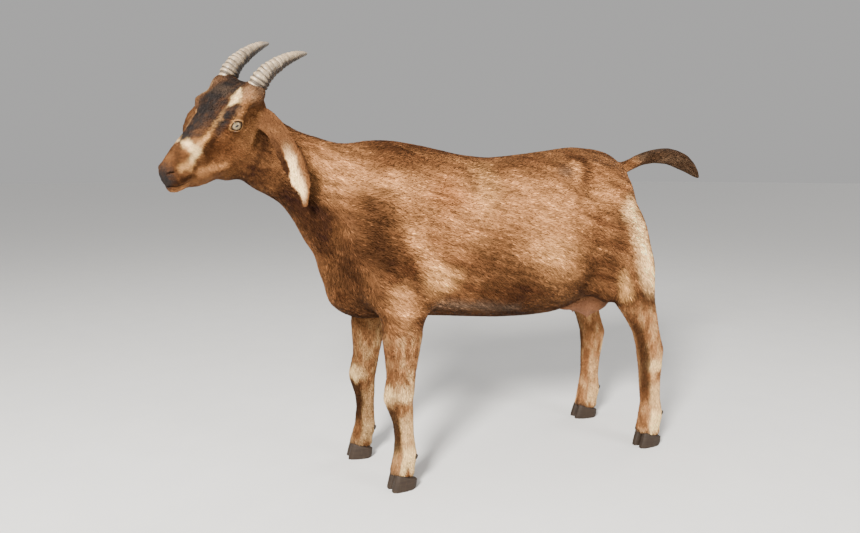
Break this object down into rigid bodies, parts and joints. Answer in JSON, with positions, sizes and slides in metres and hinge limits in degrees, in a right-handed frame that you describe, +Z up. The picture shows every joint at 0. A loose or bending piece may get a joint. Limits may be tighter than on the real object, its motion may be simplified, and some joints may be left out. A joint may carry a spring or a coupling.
{
  "type": "goat",
  "caption": "Standing doe goat with a short coat, swept-back horns, long lop ears and a raised tail, its head turned to the left.",
  "frame": {"origin": "on the floor, under the middle of the model's bounding box", "axes": "the goat faces -Y, its left side is +X, +Z is up; its soles lie at Z = 0"},
  "size_m": [0.3238, 1.367, 0.957],
  "materials": {
    "brown_coat": "short sleek brown hair",
    "face_coat": "short brown hair with a dark blaze and cream stripes",
    "leg_coat": "short tan hair with cream patches",
    "udder_skin": "thin-haired skin",
    "tail_coat": "coarser dark brown hair",
    "horn": "ringed keratin, satin",
    "hoof": "dark keratin",
    "eye": "wet, glossy"
  },
  "bodies": {
    "root": {"dewclaw_fore_left_inner": "hoof", "dewclaw_fore_left_outer": "hoof", "dewclaw_fore_right_inner": "hoof", "dewclaw_fore_right_outer": "hoof", "dewclaw_hind_left_inner": "hoof", "dewclaw_hind_left_outer": "hoof", "dewclaw_hind_right_inner": "hoof", "dewclaw_hind_right_outer": "hoof", "ear_left": "brown_coat", "ear_right": "brown_coat", "eye_left": "eye", "eye_right": "eye", "foreleg_left_cannon": "leg_coat", "foreleg_left_forearm": "leg_coat", "foreleg_left_pastern": "leg_coat", "foreleg_right_cannon": "leg_coat", "foreleg_right_forearm": "leg_coat", "foreleg_right_pastern": "leg_coat", "head": "face_coat", "hindleg_left_cannon": "leg_coat", "hindleg_left_gaskin": "leg_coat", "hindleg_left_pastern": "leg_coat", "hindleg_left_thigh": "brown_coat", "hindleg_right_cannon": "leg_coat", "hindleg_right_gaskin": "leg_coat", "hindleg_right_pastern": "leg_coat", "hindleg_right_thigh": "brown_coat", "hoof_fore_left_inner": "hoof", "hoof_fore_left_outer": "hoof", "hoof_fore_right_inner": "hoof", "hoof_fore_right_outer": "hoof", "hoof_hind_left_inner": "hoof", "hoof_hind_left_outer": "hoof", "hoof_hind_right_inner": "hoof", "hoof_hind_right_outer": "hoof", "horn_left": "horn", "horn_right": "horn", "neck": "brown_coat", "tail": "tail_coat", "trunk": "brown_coat", "udder": "udder_skin"}
  },
  "joints": []
}
